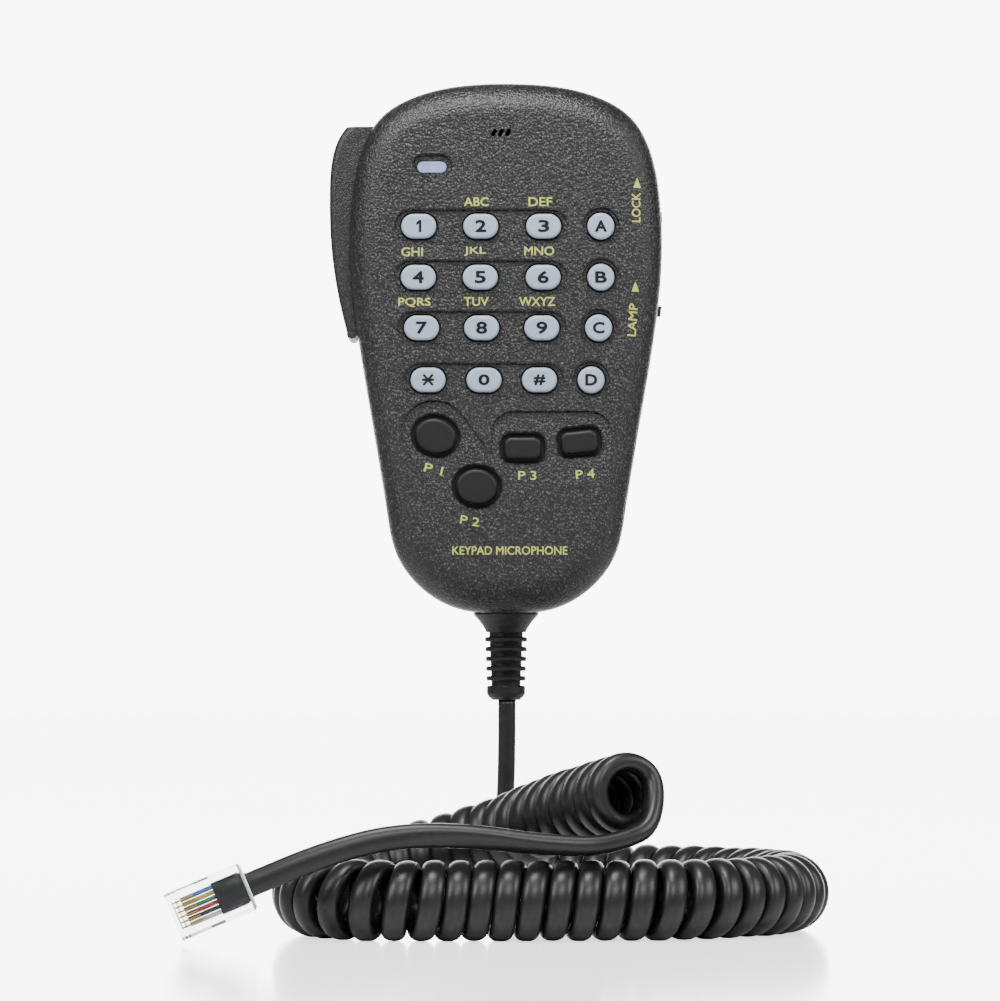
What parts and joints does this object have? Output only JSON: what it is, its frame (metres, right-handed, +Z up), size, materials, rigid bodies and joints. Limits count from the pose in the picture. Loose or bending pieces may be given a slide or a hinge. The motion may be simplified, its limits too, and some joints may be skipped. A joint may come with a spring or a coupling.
{
  "type": "hand microphone",
  "caption": "Two-way radio hand microphone with a tone keypad, push-to-talk lever, ribbed strain relief, curly cord and modular plug.",
  "frame": {"origin": "middle of the hanger stud's seat on the rear cover's flat back", "axes": "+Y out of the back along the hanger stud, +Z up towards the sound slots, +X to the right of someone facing the keypad"},
  "size_m": [0.1332, 0.1148, 0.1789],
  "materials": {
    "case_plastic": "coarse pebble grain, charcoal",
    "lever_plastic": "fine grain, charcoal",
    "black_plastic": "satin",
    "steel": "zinc plated",
    "component": "moulded",
    "mat_rubber": "matt silicone",
    "lens": "frosted, glossy face",
    "led": "clear resin",
    "carbon": "printed carbon",
    "board": "solder mask",
    "can_metal": "drawn can",
    "connector_plastic": "natural nylon",
    "black_rubber": "matt",
    "p_key_rubber": "satin",
    "key_plastic": "satin translucent grey-blue with dark digits",
    "stud_metal": "nickel plated, turned",
    "relief_rubber": "satin",
    "wire_jackets": "one colour for each wire",
    "tie_nylon": "natural nylon",
    "cord_jacket": "satin PVC",
    "clear_plastic": "clear polycarbonate",
    "gold": "gold plated"
  },
  "bodies": {
    "microphone": {"front_cover": "case_plastic", "rear_cover": "case_plastic", "ptt_pivot_pin": "steel", "ptt_spring": "steel", "ptt_switch": "component", "keypad_mat": "mat_rubber", "led_lens": "lens", "backlight_leds": "led", "contact_pads": "carbon", "status_led": "led", "main_board": "board", "controller_chip": "component", "crystal": "can_metal", "small_components": "component", "cord_connector": "connector_plastic", "up_down_switches": "component", "side_switches": "component", "mic_boot": "black_rubber", "mic_capsule": "can_metal", "hanger_stud": "stud_metal", "hanger_screw": "steel", "case_screws": "steel", "board_screws": "steel", "strain_relief": "relief_rubber", "inner_wires": "wire_jackets", "cord_tie": "tie_nylon", "cord_lead": "cord_jacket", "curly_cord": "cord_jacket", "plug_lead": "cord_jacket", "plug_body": "clear_plastic", "plug_contacts": "gold", "plug_wires": "wire_jackets"},
    "ptt_lever": {"ptt_lever": "lever_plastic"},
    "ptt_plunger": {"ptt_plunger": "black_plastic"},
    "up_button": {"up_button": "p_key_rubber"},
    "down_button": {"down_button": "p_key_rubber"},
    "lock_slider": {"lock_slider": "black_plastic"},
    "lamp_slider": {"lamp_slider": "black_plastic"},
    "plug_latch": {"plug_latch": "clear_plastic"},
    "key_1": {"key_1": "key_plastic"},
    "key_2": {"key_2": "key_plastic"},
    "key_3": {"key_3": "key_plastic"},
    "key_a": {"key_a": "key_plastic"},
    "key_4": {"key_4": "key_plastic"},
    "key_5": {"key_5": "key_plastic"},
    "key_6": {"key_6": "key_plastic"},
    "key_b": {"key_b": "key_plastic"},
    "key_7": {"key_7": "key_plastic"},
    "key_8": {"key_8": "key_plastic"},
    "key_9": {"key_9": "key_plastic"},
    "key_c": {"key_c": "key_plastic"},
    "key_star": {"key_star": "key_plastic"},
    "key_0": {"key_0": "key_plastic"},
    "key_hash": {"key_hash": "key_plastic"},
    "key_d": {"key_d": "key_plastic"},
    "key_p1": {"key_p1": "p_key_rubber"},
    "key_p2": {"key_p2": "p_key_rubber"},
    "key_p3": {"key_p3": "p_key_rubber"},
    "key_p4": {"key_p4": "p_key_rubber"}
  },
  "joints": [
    {"name": "ptt_press", "type": "hinge", "parent": "microphone", "child": "ptt_lever", "pos_m": [-0.0305, -0.013, -0.01], "axis": [0, 1, 0], "range_deg": [0, 2.6], "stiffness_Nm_per_rad": 0.8, "springref_deg": -5.73, "deforming": ["ptt_spring"]},
    {"name": "ptt_plunger_slide", "type": "slide", "parent": "microphone", "child": "ptt_plunger", "axis": [1, 0, 0], "range_m": [0, 0.0016]},
    {"name": "key_1_press", "type": "slide", "parent": "microphone", "child": "key_1", "axis": [0, 1, 0], "range_m": [0, 0.0008], "stiffness_N_per_m": 700, "springref_m": -0.0003},
    {"name": "key_2_press", "type": "slide", "parent": "microphone", "child": "key_2", "axis": [0, 1, 0], "range_m": [0, 0.0008], "stiffness_N_per_m": 700, "springref_m": -0.0003},
    {"name": "key_3_press", "type": "slide", "parent": "microphone", "child": "key_3", "axis": [0, 1, 0], "range_m": [0, 0.0008], "stiffness_N_per_m": 700, "springref_m": -0.0003},
    {"name": "key_a_press", "type": "slide", "parent": "microphone", "child": "key_a", "axis": [0, 1, 0], "range_m": [0, 0.0008], "stiffness_N_per_m": 700, "springref_m": -0.0003},
    {"name": "key_4_press", "type": "slide", "parent": "microphone", "child": "key_4", "axis": [0, 1, 0], "range_m": [0, 0.0008], "stiffness_N_per_m": 700, "springref_m": -0.0003},
    {"name": "key_5_press", "type": "slide", "parent": "microphone", "child": "key_5", "axis": [0, 1, 0], "range_m": [0, 0.0008], "stiffness_N_per_m": 700, "springref_m": -0.0003},
    {"name": "key_6_press", "type": "slide", "parent": "microphone", "child": "key_6", "axis": [0, 1, 0], "range_m": [0, 0.0008], "stiffness_N_per_m": 700, "springref_m": -0.0003},
    {"name": "key_b_press", "type": "slide", "parent": "microphone", "child": "key_b", "axis": [0, 1, 0], "range_m": [0, 0.0008], "stiffness_N_per_m": 700, "springref_m": -0.0003},
    {"name": "key_7_press", "type": "slide", "parent": "microphone", "child": "key_7", "axis": [0, 1, 0], "range_m": [0, 0.0008], "stiffness_N_per_m": 700, "springref_m": -0.0003},
    {"name": "key_8_press", "type": "slide", "parent": "microphone", "child": "key_8", "axis": [0, 1, 0], "range_m": [0, 0.0008], "stiffness_N_per_m": 700, "springref_m": -0.0003},
    {"name": "key_9_press", "type": "slide", "parent": "microphone", "child": "key_9", "axis": [0, 1, 0], "range_m": [0, 0.0008], "stiffness_N_per_m": 700, "springref_m": -0.0003},
    {"name": "key_c_press", "type": "slide", "parent": "microphone", "child": "key_c", "axis": [0, 1, 0], "range_m": [0, 0.0008], "stiffness_N_per_m": 700, "springref_m": -0.0003},
    {"name": "key_star_press", "type": "slide", "parent": "microphone", "child": "key_star", "axis": [0, 1, 0], "range_m": [0, 0.0008], "stiffness_N_per_m": 700, "springref_m": -0.0003},
    {"name": "key_0_press", "type": "slide", "parent": "microphone", "child": "key_0", "axis": [0, 1, 0], "range_m": [0, 0.0008], "stiffness_N_per_m": 700, "springref_m": -0.0003},
    {"name": "key_hash_press", "type": "slide", "parent": "microphone", "child": "key_hash", "axis": [0, 1, 0], "range_m": [0, 0.0008], "stiffness_N_per_m": 700, "springref_m": -0.0003},
    {"name": "key_d_press", "type": "slide", "parent": "microphone", "child": "key_d", "axis": [0, 1, 0], "range_m": [0, 0.0008], "stiffness_N_per_m": 700, "springref_m": -0.0003},
    {"name": "key_p1_press", "type": "slide", "parent": "microphone", "child": "key_p1", "axis": [0, 1, 0], "range_m": [0, 0.0008], "stiffness_N_per_m": 700, "springref_m": -0.0003},
    {"name": "key_p2_press", "type": "slide", "parent": "microphone", "child": "key_p2", "axis": [0, 1, 0], "range_m": [0, 0.0008], "stiffness_N_per_m": 700, "springref_m": -0.0003},
    {"name": "key_p3_press", "type": "slide", "parent": "microphone", "child": "key_p3", "axis": [0, 1, 0], "range_m": [0, 0.0008], "stiffness_N_per_m": 700, "springref_m": -0.0003},
    {"name": "key_p4_press", "type": "slide", "parent": "microphone", "child": "key_p4", "axis": [0, 1, 0], "range_m": [0, 0.0008], "stiffness_N_per_m": 700, "springref_m": -0.0003},
    {"name": "up_button_press", "type": "slide", "parent": "microphone", "child": "up_button", "axis": [0, 0, -1], "range_m": [0, 0.0005], "stiffness_N_per_m": 900, "springref_m": -0.0003},
    {"name": "down_button_press", "type": "slide", "parent": "microphone", "child": "down_button", "axis": [0, 0, -1], "range_m": [0, 0.0005], "stiffness_N_per_m": 900, "springref_m": -0.0003},
    {"name": "lock_slider_slide", "type": "slide", "parent": "microphone", "child": "lock_slider", "axis": [0, 0, 1], "range_m": [0, 0.002]},
    {"name": "lamp_slider_slide", "type": "slide", "parent": "microphone", "child": "lamp_slider", "axis": [0, 0, 1], "range_m": [0, 0.002]},
    {"name": "plug_latch_bend", "type": "hinge", "parent": "microphone", "child": "plug_latch", "pos_m": [-0.06394, -0.10213, -0.13204], "axis": [-0.3896, 0, 0.921], "range_deg": [-8, 0], "stiffness_Nm_per_rad": 0.05}
  ],
  "couplings": [
    {"joint": "ptt_plunger_slide", "follows": "ptt_press", "m_per_rad": 0.032}
  ]
}
